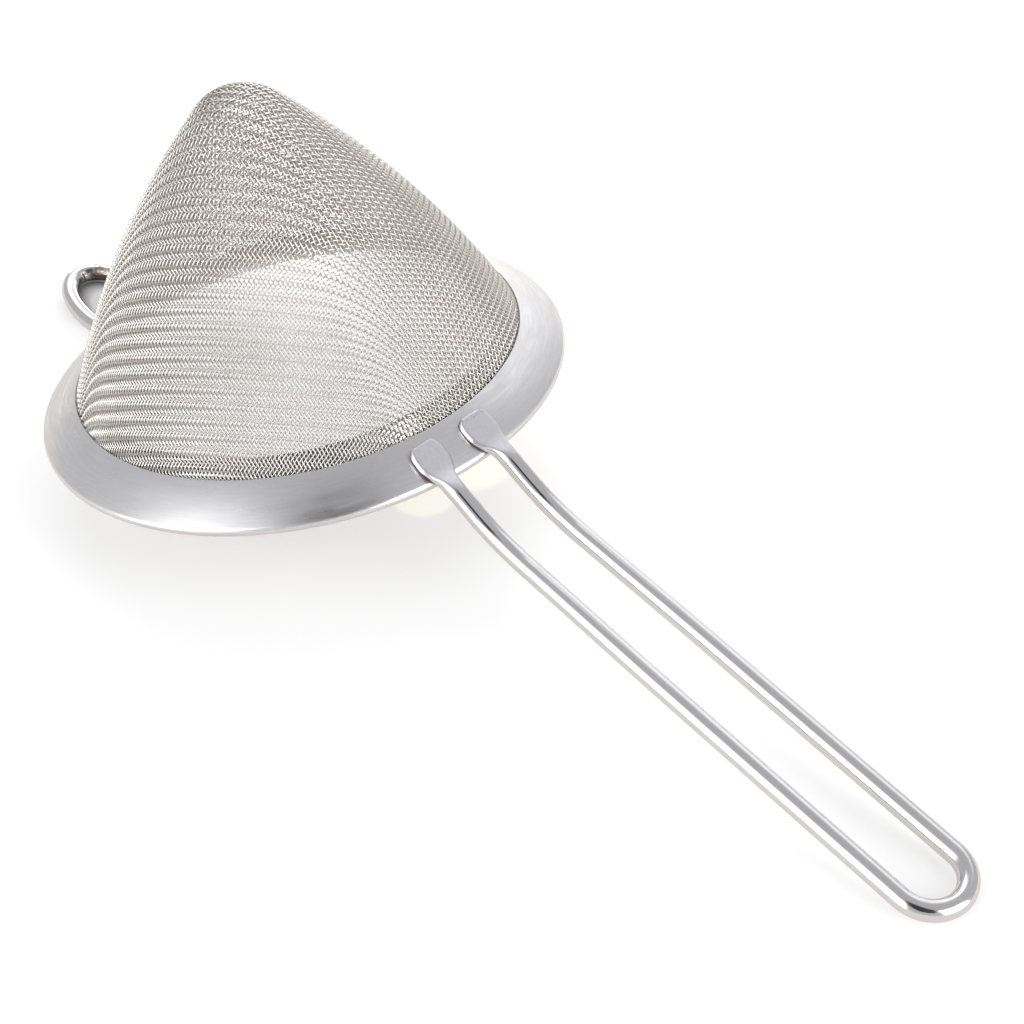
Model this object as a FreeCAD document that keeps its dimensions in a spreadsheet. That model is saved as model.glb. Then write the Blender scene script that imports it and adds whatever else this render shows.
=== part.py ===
"""Conical fine-mesh strainer: a woven cone clamped in a sheet-steel rim, with a wire handle and a rest hook.

Frame: millimetres, +Z along the cone's axis towards its tip, origin at the centre of the mouth, in the plane
of the rim's lowest edge. The handle points along +X and the rest hook along -X.
"""

import FreeCAD, Part
import math
import os

import Sketcher

DOC = FreeCAD.newDocument("strainer")

DIMENSIONS = [
    ("rim_radius", 45.0, "outermost radius of the rolled edge"),
    ("roll_radius", 1.0, "outer radius of the rolled edge"),
    ("band_thickness", 0.5, "sheet of the band"),
    ("band_inner_radius", 38.2, "upper edge of the band, against the cloth"),
    ("band_top_height", 6.4, "height of that edge"),
    ("hem_inner_radius", 42.4, "where the flat hem under the rim ends"),
    ("cloth_thickness", 0.56, "two crossing wires"),
    ("cone_height", 54.7, "tip of the cone above the rim plane"),
    ("tip_radius", 10.3, "rounding of the tip"),
    ("wall_radius", 160.0, "slight outward curve of the cone's wall"),
    ("cloth_edge_radius", 43.4, "cut edge of the cloth under the band"),
    ("ring_thickness", 0.4, "sheet of the clamp ring"),
    ("ring_top_height", 8.8, "upper edge of the clamp ring"),
    ("ring_edge_radius", 42.2, "outer edge of the clamp ring"),
    ("fit_gap", 0.03, "air between cloth, band and ring"),
    ("handle_wire_radius", 1.65, "round wire of the handle"),
    ("handle_half_width", 5.7, "centre line to each handle leg"),
    ("handle_reach", 140.0, "axis of the cone to the wire's centre at the far end"),
    ("handle_slope", 18.2, "degrees that the handle falls below the rim plane"),
    ("handle_bend_reach", 56.2, "where the legs turn into the long straight"),
    ("handle_bend_height", -6.57, "height of that turn"),
    ("handle_bend_radius", 30.0, "bending radius of that turn"),
    ("neck_bend_radius", 8.0, "bending radius next to the paddles"),
    ("hook_wire_radius", 1.65, "round wire of the hook"),
    ("hook_half_width", 6.95, "centre line to each hook leg"),
    ("hook_reach", 72.3, "axis of the cone to the wire's centre at the hook's end"),
    ("hook_slope", -8.5, "negative, as the loop rises outwards by these degrees and so lies flat on a table"),
    ("hook_bend_run", 18.7, "paddle tip to the bend where the hook's legs turn level with the table"),
    ("hook_loop_start", 57.0, "where the hook's oval loop starts"),
    ("hook_bend_radius", 4.0, "bending radius between the hook's legs and its loop"),
    ("paddle_tip_radius", 40.3, "distance of the handle's paddle tips from the cone's axis"),
    ("hook_tip_radius", 40.4, "distance of the hook's paddle tips from the cone's axis"),
    ("paddle_half_width", 3.0, "half the greatest width of a pressed paddle"),
    ("paddle_thickness", 1.2, "thickness of a pressed paddle"),
    ("paddle_gap", 0.25, "air between paddle and band, bridged by the weld nugget"),
    ("neck_length", 9.0, "paddle tip to round wire on the handle"),
    ("hook_neck_length", 8.0, "paddle tip to round wire on the hook"),
    ("nugget_radius", 1.3, "spot-weld nugget"),
    ("nugget_offset", 3.2, "paddle tip to weld nugget"),
]

# Paddle sections from tip to round wire: share of the neck length, of the half width above the wire's
# radius, and of the thickening from pressed plate to round wire.
PADDLE_SECTIONS = [
    (0.00, -0.30, 0.00),
    (0.10, 0.62, 0.00),
    (0.28, 1.00, 0.00),
    (0.48, 0.90, 0.00),
    (0.68, 0.40, 0.05),
    (0.84, 0.08, 0.35),
    (1.00, 0.00, 1.00),
]


def make_sheet():
    """Writes the driving dimensions, one per row: name, value, meaning."""
    table = DOC.addObject("Spreadsheet::Sheet", "dims")
    for row, (alias, value, meaning) in enumerate(DIMENSIONS, start=1):
        table.set(f"A{row}", alias)
        table.set(f"B{row}", str(value))
        table.set(f"C{row}", meaning)
        table.setAlias(f"B{row}", alias)
    DOC.recompute()
    return table


SHEET = make_sheet()


def dim(alias):
    """Value of a driving dimension."""
    return float(SHEET.get(alias))


def vec(x, y=0.0, z=0.0):
    return FreeCAD.Vector(x, y, z)


def flange_angle():
    """Fall of the band, in radians: the line from its upper edge that touches the rolled edge."""
    roll = dim("roll_radius")
    inwards = dim("rim_radius") - roll - dim("band_inner_radius")
    upwards = dim("band_top_height") - roll
    return math.acos(roll / math.hypot(inwards, upwards)) - math.atan2(inwards, upwards)


def flange_normal():
    """Outward direction of the band's upper face, as (radial, axial)."""
    fall = flange_angle()
    return math.sin(fall), math.cos(fall)


def flange_point(radius, depth):
    """Point at a radius, sunk by a depth below the band's upper face, as (radius, height)."""
    fall = flange_angle()
    drop = (radius - dim("band_inner_radius")) * math.tan(fall)
    return radius, dim("band_top_height") - drop - depth / math.cos(fall)


def revolved_body(label, draw):
    """A body turned about the cone's axis from the half section that draw() puts in its sketch."""
    body = DOC.addObject("PartDesign::Body", label)
    planes = {feature.Role: feature for feature in body.Origin.OriginFeatures}
    sketch = body.newObject("Sketcher::SketchObject", label + "_section")
    sketch.AttachmentSupport = [(planes["XZ_Plane"], "")]
    sketch.MapMode = "FlatFace"
    draw(sketch)
    DOC.recompute()
    turn = body.newObject("PartDesign::Revolution", label + "_turn")
    turn.Profile = sketch
    turn.ReferenceAxis = (sketch, ["V_Axis"])
    turn.Angle = 360.0
    body.Tip = turn
    body.Label = label
    DOC.recompute()
    return body


def add_line(sketch, start, end):
    return sketch.addGeometry(Part.LineSegment(vec(*start), vec(*end)), False)


def add_arc(sketch, centre, radius, start, end):
    """Arc drawn anticlockwise from the direction of start to that of end."""
    angles = [math.atan2(p[1] - centre[1], p[0] - centre[0]) for p in (start, end)]
    circle = Part.Circle(vec(*centre), vec(0, 0, 1), radius)
    return sketch.addGeometry(Part.ArcOfCircle(circle, *angles), False)


def pin_distance(sketch, axis, geometry, vertex, name, formula):
    """Ties a vertex's distance from the sketch's origin along X or Y to an expression of the sheet."""
    point = sketch.getPoint(geometry, vertex)
    value = point.x if axis == "X" else point.y
    index = sketch.addConstraint(Sketcher.Constraint("Distance" + axis, -1, 1, geometry, vertex, value))
    sketch.renameConstraint(index, name)
    sketch.setExpression(f"Constraints.{name}", formula)


def pin_point(sketch, geometry, vertex, name, across, up):
    """Ties a vertex to the sketch's origin along both axes."""
    pin_distance(sketch, "X", geometry, vertex, name + "_x", across)
    pin_distance(sketch, "Y", geometry, vertex, name + "_y", up)


def pin_radius(sketch, arc, name, formula):
    index = sketch.addConstraint(Sketcher.Constraint("Radius", arc, sketch.Geometry[arc].Radius))
    sketch.renameConstraint(index, name)
    sketch.setExpression(f"Constraints.{name}", formula)


def join(sketch, *pairs):
    """Makes pairs of vertices coincide: (geometry, vertex, geometry, vertex)."""
    for pair in pairs:
        sketch.addConstraint(Sketcher.Constraint("Coincident", *pair))


def draw_band(sketch):
    """Sloping flange, rolled edge and flat hem beneath it, all of one sheet."""
    sheet = dim("band_thickness")
    roll = dim("roll_radius")
    centre = (dim("rim_radius") - roll, roll)
    normal = flange_normal()
    upper = (dim("band_inner_radius"), dim("band_top_height"))
    under = flange_point(upper[0], sheet)
    outer_touch = (centre[0] + roll * normal[0], centre[1] + roll * normal[1])
    inner_touch = (centre[0] + (roll - sheet) * normal[0], centre[1] + (roll - sheet) * normal[1])
    hem = dim("hem_inner_radius")
    top = add_line(sketch, upper, outer_touch)
    outside = add_arc(sketch, centre, roll, (centre[0], 0.0), outer_touch)
    land = add_line(sketch, (centre[0], 0.0), (hem, 0.0))
    lip = add_line(sketch, (hem, 0.0), (hem, sheet))
    shelf = add_line(sketch, (hem, sheet), (centre[0], sheet))
    inside = add_arc(sketch, centre, roll - sheet, (centre[0], sheet), inner_touch)
    bottom = add_line(sketch, inner_touch, under)
    edge = add_line(sketch, under, upper)
    join(sketch, (land, 2, lip, 1), (lip, 2, shelf, 1), (bottom, 2, edge, 1), (edge, 2, top, 1))
    join(sketch, (outside, 3, inside, 3))
    for first, first_end, second, second_end in (
        (top, 2, outside, 2),
        (outside, 1, land, 1),
        (shelf, 2, inside, 1),
        (inside, 2, bottom, 1),
    ):
        sketch.addConstraint(Sketcher.Constraint("Tangent", first, first_end, second, second_end))
    sketch.addConstraint(Sketcher.Constraint("Vertical", lip))
    sketch.addConstraint(Sketcher.Constraint("Vertical", edge))
    pin_point(sketch, top, 1, "upper", "dims.band_inner_radius", "dims.band_top_height")
    pin_point(sketch, outside, 3, "roll_centre", "dims.rim_radius - dims.roll_radius", "dims.roll_radius")
    pin_radius(sketch, outside, "roll_outside", "dims.roll_radius")
    pin_radius(sketch, inside, "roll_inside", "dims.roll_radius - dims.band_thickness")
    pin_distance(sketch, "X", lip, 1, "hem_end", "dims.hem_inner_radius")


def wall_centre():
    """Centre of the wall's curve: it clears the band's inner edge by the fit gap and meets the tip's arc."""
    tip_centre = (0.0, dim("cone_height") - dim("tip_radius"))
    corner = flange_point(dim("band_inner_radius"), dim("band_thickness"))
    start = (corner[0] - dim("fit_gap"), corner[1])
    to_tip = dim("wall_radius") - dim("tip_radius")
    to_start = dim("wall_radius")
    span = math.dist(tip_centre, start)
    along = (to_tip**2 - to_start**2 + span**2) / (2 * span)
    aside = math.sqrt(to_tip**2 - along**2)
    unit = ((start[0] - tip_centre[0]) / span, (start[1] - tip_centre[1]) / span)
    return (
        tip_centre[0] + along * unit[0] + aside * unit[1],
        tip_centre[1] + along * unit[1] - aside * unit[0],
    )


def wall_radius_at(height, inset):
    """Radius of the cone's wall at a height, on the surface that lies inset inside its outer face."""
    centre = wall_centre()
    reach = dim("wall_radius") - inset
    return centre[0] + math.sqrt(reach**2 - (height - centre[1]) ** 2)


def wall_meets_flange(inset, depth):
    """Knee where the wall, lying inset inside its outer face, meets a line sunk by depth under the band."""
    low = 0.0
    high = dim("band_top_height")
    for _ in range(60):
        middle = (low + high) / 2
        radius = wall_radius_at(middle, inset)
        if flange_point(radius, depth)[1] > middle:
            low = middle
        else:
            high = middle
    return wall_radius_at(low, inset), low


def draw_cloth(sketch):
    """Cloth of even thickness: skirt under the band, curved wall, round tip."""
    thick = dim("cloth_thickness")
    sunk = dim("band_thickness") + dim("fit_gap")
    edge = dim("cloth_edge_radius")
    tip_centre = (0.0, dim("cone_height") - dim("tip_radius"))
    bulge_centre = wall_centre()
    away = math.dist(tip_centre, bulge_centre)
    unit = ((tip_centre[0] - bulge_centre[0]) / away, (tip_centre[1] - bulge_centre[1]) / away)
    faces = []
    for inset in (0.0, thick):
        skirt_end = flange_point(edge - inset * flange_normal()[0], sunk + inset)
        knee = wall_meets_flange(inset, sunk + inset)
        reach = dim("tip_radius") - inset
        meet = (tip_centre[0] + reach * unit[0], tip_centre[1] + reach * unit[1])
        skirt = add_line(sketch, skirt_end, knee)
        wall = add_arc(sketch, bulge_centre, dim("wall_radius") - inset, knee, meet)
        tip = add_arc(sketch, tip_centre, reach, meet, (0.0, tip_centre[1] + reach))
        join(sketch, (skirt, 2, wall, 1))
        sketch.addConstraint(Sketcher.Constraint("Tangent", wall, 2, tip, 1))
        faces.append((skirt, wall, tip, skirt_end))
    outer, inner = faces
    cut = add_line(sketch, outer[3], inner[3])
    crown = add_line(sketch, (0.0, dim("cone_height")), (0.0, dim("cone_height") - thick))
    join(sketch, (cut, 1, outer[0], 1), (cut, 2, inner[0], 1))
    join(sketch, (crown, 1, outer[2], 2), (crown, 2, inner[2], 2))
    join(sketch, (outer[1], 3, inner[1], 3), (outer[2], 3, inner[2], 3))
    sketch.addConstraint(Sketcher.Constraint("PointOnObject", outer[2], 3, -2))
    sketch.addConstraint(Sketcher.Constraint("PointOnObject", crown, 1, -2))
    sketch.addConstraint(Sketcher.Constraint("PointOnObject", crown, 2, -2))
    pin_radius(sketch, outer[1], "wall_outside", "dims.wall_radius")
    pin_radius(sketch, outer[2], "tip_outside", "dims.tip_radius")
    pin_radius(sketch, inner[2], "tip_inside", "dims.tip_radius - dims.cloth_thickness")
    pin_distance(sketch, "Y", crown, 1, "tip_height", "dims.cone_height")
    pin_distance(sketch, "X", outer[0], 1, "cut_edge", "dims.cloth_edge_radius")


def draw_ring(sketch):
    """Clamp ring: a collar up the inside of the wall and a skirt under the cloth, bent from one strip."""
    thick = dim("ring_thickness")
    inset = dim("cloth_thickness") + dim("fit_gap")
    sunk = dim("band_thickness") + dim("cloth_thickness") + 2 * dim("fit_gap")
    top = dim("ring_top_height")
    edge = dim("ring_edge_radius")
    outline = [
        (wall_radius_at(top, inset), top),
        (wall_radius_at(top, inset + thick), top),
        wall_meets_flange(inset + thick, sunk + thick),
        flange_point(edge - thick * flange_normal()[0], sunk + thick),
        flange_point(edge, sunk),
        wall_meets_flange(inset, sunk),
    ]
    sides = [add_line(sketch, outline[i], outline[(i + 1) % len(outline)]) for i in range(len(outline))]
    for i, side in enumerate(sides):
        join(sketch, (side, 2, sides[(i + 1) % len(sides)], 1))
    pin_distance(sketch, "Y", sides[0], 1, "top_height", "dims.ring_top_height")
    pin_distance(sketch, "X", sides[4], 1, "edge_radius", "dims.ring_edge_radius")


class Loop:
    """A wire loop on the band: where its paddles lie and how its centre line runs.

    Everything is worked out on the +X side, in the vertical plane of one leg; side is +1 for the handle and
    -1 for the hook.
    """

    def __init__(self, prefix, side, tip_radius, neck):
        self.prefix = prefix
        self.side = side
        self.half = dim(prefix + "_half_width")
        self.wire = dim(prefix + "_wire_radius")
        self.slope = math.radians(dim(prefix + "_slope"))
        self.neck = neck
        lift = dim("paddle_gap") + dim("paddle_thickness") / 2
        radius, height = flange_point(tip_radius, -lift)
        self.tip = (math.sqrt(radius**2 - self.half**2), height)
        self.fall = math.atan(math.tan(flange_angle()) * self.tip[0] / radius)

    def at(self, along):
        """Point of a paddle's centre line at a distance from its tip, as (reach, height)."""
        return self.tip[0] + along * math.cos(self.fall), self.tip[1] - along * math.sin(self.fall)

    def vector(self, reach, across, height):
        return vec(self.side * reach, across, height)


def rounded_leg(points, radii):
    """Lines through points in one vertical plane, with each inner corner rounded: a list of edges."""
    edges = []
    start = points[0]
    for corner, after, radius in zip(points[1:-1], points[2:], radii):
        back = (start - corner).normalize()
        ahead = (after - corner).normalize()
        half_turn = (math.pi - back.getAngle(ahead)) / 2
        reach = radius * math.tan(half_turn)
        first = corner + back * reach
        last = corner + ahead * reach
        bisector = (back + ahead).normalize()
        middle = corner + bisector * (radius / math.cos(half_turn) - radius)
        edges.append(Part.makeLine(start, first))
        edges.append(Part.Arc(first, middle, last).toShape())
        start = last
    edges.append(Part.makeLine(start, points[-1]))
    return edges


def half_oval(loop, start_reach, start_height, end_reach):
    """Half an ellipse that closes the loop, tangent to both legs, in the sloping plane of the legs."""
    direction = loop.vector(math.cos(loop.slope), 0.0, -math.sin(loop.slope))
    length = (end_reach - start_reach) / math.cos(loop.slope)
    centre = loop.vector(start_reach, 0.0, start_height)
    across = vec(0.0, loop.half, 0.0)
    if length >= loop.half:
        oval = Part.Ellipse(centre + direction * length, centre + across, centre)
        first, last = -math.pi / 2, math.pi / 2
    else:
        oval = Part.Ellipse(centre + across, centre + direction * length, centre)
        first, last = 0.0, math.pi
    return Part.ArcOfEllipse(oval, first, last).toShape()


def make_spine(loop, corners, radii, oval_start, oval_end):
    """Centre line of the round wire: leg, oval, leg."""
    neck_end = loop.at(loop.neck)
    turn = corners[-1]
    oval_height = turn[1] - (oval_start - turn[0]) * math.tan(loop.slope)
    planar = [neck_end] + corners + [(oval_start, oval_height)]
    legs = []
    for across in (loop.half, -loop.half):
        points = [loop.vector(reach, across, height) for reach, height in planar]
        legs.append(rounded_leg(points, radii))
    oval = half_oval(loop, oval_start, oval_height, oval_end)
    wire = Part.Wire(Part.__sortEdges__(legs[0] + [oval] + legs[1]))
    spine = DOC.addObject("Part::Feature", loop.prefix + "_spine")
    spine.Shape = wire
    return spine


def section_placement(loop, along, across):
    """Places a section's long axis across the wire and its normal along the paddle."""
    reach, height = loop.at(along)
    forward = loop.vector(math.cos(loop.fall), 0.0, -math.sin(loop.fall))
    long_axis = vec(0.0, 1.0, 0.0)
    turn = FreeCAD.Rotation(long_axis, forward.cross(long_axis), forward, "XZY")
    return FreeCAD.Placement(loop.vector(reach, across, height), turn)


def make_round_wire(loop, spine):
    """The round length of the wire, swept along its spine."""
    circle = DOC.addObject("Part::Circle", loop.prefix + "_round")
    circle.setExpression("Radius", f"dims.{loop.prefix}_wire_radius")
    first_edge = spine.Shape.Edges[0]
    at_start = first_edge.valueAt(first_edge.FirstParameter)
    circle.Placement = section_placement(loop, loop.neck, math.copysign(loop.half, at_start.y))
    sweep = DOC.addObject("Part::Sweep", loop.prefix + "_sweep")
    sweep.Sections = [circle]
    sweep.Spine = (spine, [f"Edge{i + 1}" for i in range(len(spine.Shape.Edges))])
    sweep.Solid = True
    sweep.Frenet = False
    return sweep


def make_paddle(loop, neck_alias):
    """One pressed end: a loft from the blunt tip over the wide plate to the round wire."""
    sections = []
    wire = f"dims.{loop.prefix}_wire_radius"
    for index, (share, widening, thickening) in enumerate(PADDLE_SECTIONS):
        ellipse = DOC.addObject("Part::Ellipse", f"{loop.prefix}_section_{index}")
        half_width = f"{wire} + {widening} * (dims.paddle_half_width - {wire})"
        half_plate = "dims.paddle_thickness / 2"
        ellipse.setExpression("MajorRadius", half_width)
        ellipse.setExpression("MinorRadius", f"{half_plate} + {thickening} * ({wire} - {half_plate})")
        ellipse.Placement = section_placement(loop, share * dim(neck_alias), loop.half)
        sections.append(ellipse)
    paddle = DOC.addObject("Part::Loft", loop.prefix + "_paddle")
    paddle.Sections = sections
    paddle.Solid = True
    paddle.Ruled = False
    twin = DOC.addObject("Part::Mirroring", loop.prefix + "_paddle_twin")
    twin.Source = paddle
    twin.Base = vec(0, 0, 0)
    twin.Normal = vec(0, 1, 0)
    return [paddle, twin]


def make_wire_loop(label, loop, neck_alias, spine):
    """Round wire and both paddles as one piece."""
    pieces = [make_round_wire(loop, spine)] + make_paddle(loop, neck_alias)
    whole = DOC.addObject("Part::MultiFuse", label)
    whole.Shapes = pieces
    whole.Label = label
    DOC.recompute()
    return whole


def make_nuggets(label, loop, band, wire):
    """Weld nuggets that fill the gap between paddles and band: short pins less both neighbours."""
    pins = []
    normal = loop.vector(math.sin(loop.fall), 0.0, math.cos(loop.fall))
    reach, height = loop.at(dim("nugget_offset"))
    depth = dim("paddle_gap") + dim("paddle_thickness") / 2 + dim("band_thickness") / 2
    for index, across in enumerate((loop.half, -loop.half)):
        pin = DOC.addObject("Part::Cylinder", f"{label}_pin_{index}")
        pin.setExpression("Radius", "dims.nugget_radius")
        pin.setExpression("Height", "dims.paddle_gap + (dims.paddle_thickness + dims.band_thickness) / 2")
        base = loop.vector(reach, across, height) - normal * depth
        pin.Placement = FreeCAD.Placement(base, FreeCAD.Rotation(vec(0, 0, 1), normal))
        pins.append(pin)
    both = DOC.addObject("Part::MultiFuse", label + "_pins")
    both.Shapes = pins
    neighbours = DOC.addObject("Part::MultiFuse", label + "_neighbours")
    neighbours.Shapes = [band, wire]
    nuggets = DOC.addObject("Part::Cut", label)
    nuggets.Base = both
    nuggets.Tool = neighbours
    nuggets.Label = label
    DOC.recompute()
    return nuggets


def make_handle():
    """Loop of the handle: it leaves the band steeply, then turns into the long straight."""
    loop = Loop("handle", 1, dim("paddle_tip_radius"), dim("neck_length"))
    past_neck = loop.at(dim("neck_length") + 1.0)
    turn = (dim("handle_bend_reach"), dim("handle_bend_height"))
    radii = [dim("neck_bend_radius"), dim("handle_bend_radius")]
    oval_start = dim("handle_reach") - loop.half * math.cos(loop.slope)
    spine = make_spine(loop, [past_neck, turn], radii, oval_start, dim("handle_reach"))
    return loop, make_wire_loop("handle_wire", loop, "neck_length", spine)


def make_hook():
    """Loop of the rest hook: straight legs down off the band, then an oval that lies flat on the table."""
    loop = Loop("hook", -1, dim("hook_tip_radius"), dim("hook_neck_length"))
    turn = loop.at(dim("hook_bend_run"))
    spine = make_spine(loop, [turn], [dim("hook_bend_radius")], dim("hook_loop_start"), dim("hook_reach"))
    return loop, make_wire_loop("hook_wire", loop, "hook_neck_length", spine)


def check(parts):
    """Stops on any failed feature and on any part that isn't a set of sound solids."""
    for item in DOC.Objects:
        assert not {"Invalid", "Error"} & set(item.State), f"{item.Label} failed: {item.State}"
    for part in parts:
        shape = part.Shape
        assert not shape.isNull() and shape.isValid() and shape.Solids, f"{part.Label} has no sound shape"


def main():
    band = revolved_body("rim_band", draw_band)
    cloth = revolved_body("sieve_cone", draw_cloth)
    ring = revolved_body("clamp_ring", draw_ring)
    handle_loop, handle = make_handle()
    hook_loop, hook = make_hook()
    handle_welds = make_nuggets("handle_spot_welds", handle_loop, band, handle)
    hook_welds = make_nuggets("hook_spot_welds", hook_loop, band, hook)
    parts = [band, cloth, ring, handle, hook, handle_welds, hook_welds]
    DOC.recompute()
    check(parts)
    os.makedirs("parts", exist_ok=True)
    for part in parts:
        part.Shape.exportStep(f"parts/{part.Label}.step")
        box = part.Shape.BoundBox
        print(f"{part.Label}: {len(part.Shape.Solids)} solid(s), {part.Shape.Volume:.2f} mm3, "
              f"x {box.XMin:.1f}..{box.XMax:.1f}, z {box.ZMin:.1f}..{box.ZMax:.1f}")


main()
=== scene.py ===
"""Looks of a conical fine-mesh strainer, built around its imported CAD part.

The row frame is in metres: +Z along the cone's axis towards its tip, the handle along +X, the rest hook along -X.
Shapes are worked out in millimetres and scaled once, when a mesh is made.
"""

import math

import bpy
import numpy as np
from mathutils import Matrix, Vector


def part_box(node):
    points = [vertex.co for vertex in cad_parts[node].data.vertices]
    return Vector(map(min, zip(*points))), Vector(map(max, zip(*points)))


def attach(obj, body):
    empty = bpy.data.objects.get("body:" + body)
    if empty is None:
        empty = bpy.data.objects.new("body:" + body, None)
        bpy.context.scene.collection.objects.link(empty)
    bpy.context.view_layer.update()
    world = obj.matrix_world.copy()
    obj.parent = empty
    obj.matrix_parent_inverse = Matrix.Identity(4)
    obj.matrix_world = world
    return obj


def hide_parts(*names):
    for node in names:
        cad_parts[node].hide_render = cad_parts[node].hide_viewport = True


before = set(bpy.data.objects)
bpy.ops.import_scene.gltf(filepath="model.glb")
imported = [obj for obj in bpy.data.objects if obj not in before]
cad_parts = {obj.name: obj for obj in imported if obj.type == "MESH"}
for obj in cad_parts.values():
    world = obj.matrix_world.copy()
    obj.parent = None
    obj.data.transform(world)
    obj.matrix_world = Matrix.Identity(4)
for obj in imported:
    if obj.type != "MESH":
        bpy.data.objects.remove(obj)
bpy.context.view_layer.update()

MM = 0.001

# ---------------------------------------------------------------- sizes, in millimetres

rim_low, rim_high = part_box("rim_band")
RIM_RADIUS = rim_high.y / MM
BAND_TOP = rim_high.z / MM
CONE_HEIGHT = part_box("sieve_cone")[1].z / MM
ROLL_RADIUS = 1.0
BAND_THICKNESS = 0.5
BAND_INNER_RADIUS = 38.2
HEM_INNER_RADIUS = 42.95
CLOTH_THICKNESS = 0.56
TIP_RADIUS = 10.3
WALL_RADIUS = 160.0
CLOTH_EDGE_RADIUS = 42.6
HEM_EDGE_TOP = 1.6
BAND_BOW = 0.18
BAND_BOW_TURN = 0.09
RING_THICKNESS = 0.4
RING_TOP = 8.8
RING_EDGE_RADIUS = 42.2
FIT_GAP = 0.03

WIRE_PITCH = 0.7
CLOTH_WIRE_RADIUS = 0.14
STRAIGHT_WIRES = [math.radians(angle) for angle in (-9.0, 78.0, 165.0, 252.0)]


# ---------------------------------------------------------------- meshes

def make_object(name, points, quads, material):
    """A smooth mesh object from points in millimetres and rows of four indices."""
    mesh = bpy.data.meshes.new(name)
    mesh.from_pydata(np.asarray(points, float) * MM, [], np.asarray(quads, int))
    mesh.polygons.foreach_set("use_smooth", np.ones(len(mesh.polygons), bool))
    mesh.validate()
    mesh.update()
    mesh.materials.append(material)
    piece = bpy.data.objects.new(name, mesh)
    bpy.context.scene.collection.objects.link(piece)
    return piece


def ring_quads(rings, sides, closed_rings):
    """Quads between successive rings of equal size; closed_rings joins the last ring to the first."""
    last = rings if closed_rings else rings - 1
    i = np.arange(last)[:, None]
    k = np.arange(sides)[None, :]
    after = (i + 1) % rings
    beside = (k + 1) % sides
    return np.stack(
        [i * sides + k, i * sides + beside, after * sides + beside, after * sides + k], axis=-1
    ).reshape(-1, 4)


def lathe(name, profile, segments, material):
    """A closed (radius, height) outline turned about Z."""
    outline = np.asarray(profile, float)
    turn = np.linspace(0.0, 2 * math.pi, segments, endpoint=False)
    points = np.stack(
        [
            outline[None, :, 0] * np.cos(turn)[:, None],
            outline[None, :, 0] * np.sin(turn)[:, None],
            np.broadcast_to(outline[None, :, 1], (segments, len(outline))),
        ],
        axis=-1,
    ).reshape(-1, 3)
    return make_object(name, points, ring_quads(segments, len(outline), True), material)


def arc(centre, radius, start, end, count):
    """Points on an arc, angles in radians."""
    turn = np.linspace(start, end, count)
    return np.stack([centre[0] + radius * np.cos(turn), centre[1] + radius * np.sin(turn)], axis=1)


# ---------------------------------------------------------------- materials

def new_material(name):
    material = bpy.data.materials.new(name)
    material.use_nodes = True
    tree = material.node_tree
    shader = tree.nodes["Principled BSDF"]
    return material, tree, shader


def add_node(tree, kind, **inputs):
    """A node with its inputs set or linked by name; socket values are linked."""
    node = tree.nodes.new(kind)
    for name, value in inputs.items():
        put(tree, node.inputs[name.replace("_", " ")], value)
    return node


def put(tree, socket, value):
    if isinstance(value, bpy.types.NodeSocket):
        tree.links.new(value, socket)
    else:
        socket.default_value = value


def maths(tree, operation, *values):
    node = tree.nodes.new("ShaderNodeMath")
    node.operation = operation
    for socket, value in zip(node.inputs, values):
        put(tree, socket, value)
    return node.outputs[0]


def span(tree, value, low, high, to_low, to_high):
    """Maps a value from one range to another, held at both ends."""
    node = tree.nodes.new("ShaderNodeMapRange")
    for socket, number in zip(node.inputs, (value, low, high, to_low, to_high)):
        put(tree, socket, number)
    return node.outputs[0]


def window(tree, value, low, high, soft):
    """1 between two limits and 0 outside them, with soft edges."""
    rise = span(tree, value, low - soft, low + soft, 0.0, 1.0)
    fall = span(tree, value, high - soft, high + soft, 1.0, 0.0)
    return maths(tree, "MULTIPLY", rise, fall)


def blend_colour(tree, share, first, second):
    node = tree.nodes.new("ShaderNodeMix")
    node.data_type = "RGBA"
    put(tree, node.inputs["Factor"], share)
    put(tree, node.inputs["A"], first)
    put(tree, node.inputs["B"], second)
    return node.outputs["Result"]


def place(tree):
    """Coordinates in the row frame, in metres, split into x, y and z."""
    coordinates = tree.nodes.new("ShaderNodeTexCoord")
    split = tree.nodes.new("ShaderNodeSeparateXYZ")
    tree.links.new(coordinates.outputs["Object"], split.inputs[0])
    return split.outputs


def noise(tree, x, y, z, detail=3.0, roughness=0.55):
    """Noise at a point whose three coordinates are given already scaled."""
    join = tree.nodes.new("ShaderNodeCombineXYZ")
    for socket, value in zip(join.inputs, (x, y, z)):
        put(tree, socket, value)
    node = tree.nodes.new("ShaderNodeTexNoise")
    tree.links.new(join.outputs[0], node.inputs["Vector"])
    node.inputs["Scale"].default_value = 1.0
    node.inputs["Detail"].default_value = detail
    node.inputs["Roughness"].default_value = roughness
    return node.outputs["Fac"]


def even_noise(tree, scale, detail=3.0):
    """Noise of the same grain in every direction; scale is in features per metre."""
    x, y, z = place(tree)
    return noise(tree, *(maths(tree, "MULTIPLY", value, scale) for value in (x, y, z)), detail=detail)


def bump(tree, shader, height, strength, distance):
    node = tree.nodes.new("ShaderNodeBump")
    node.inputs["Strength"].default_value = strength
    node.inputs["Distance"].default_value = distance
    tree.links.new(height, node.inputs["Height"])
    tree.links.new(node.outputs[0], shader.inputs["Normal"])


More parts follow.
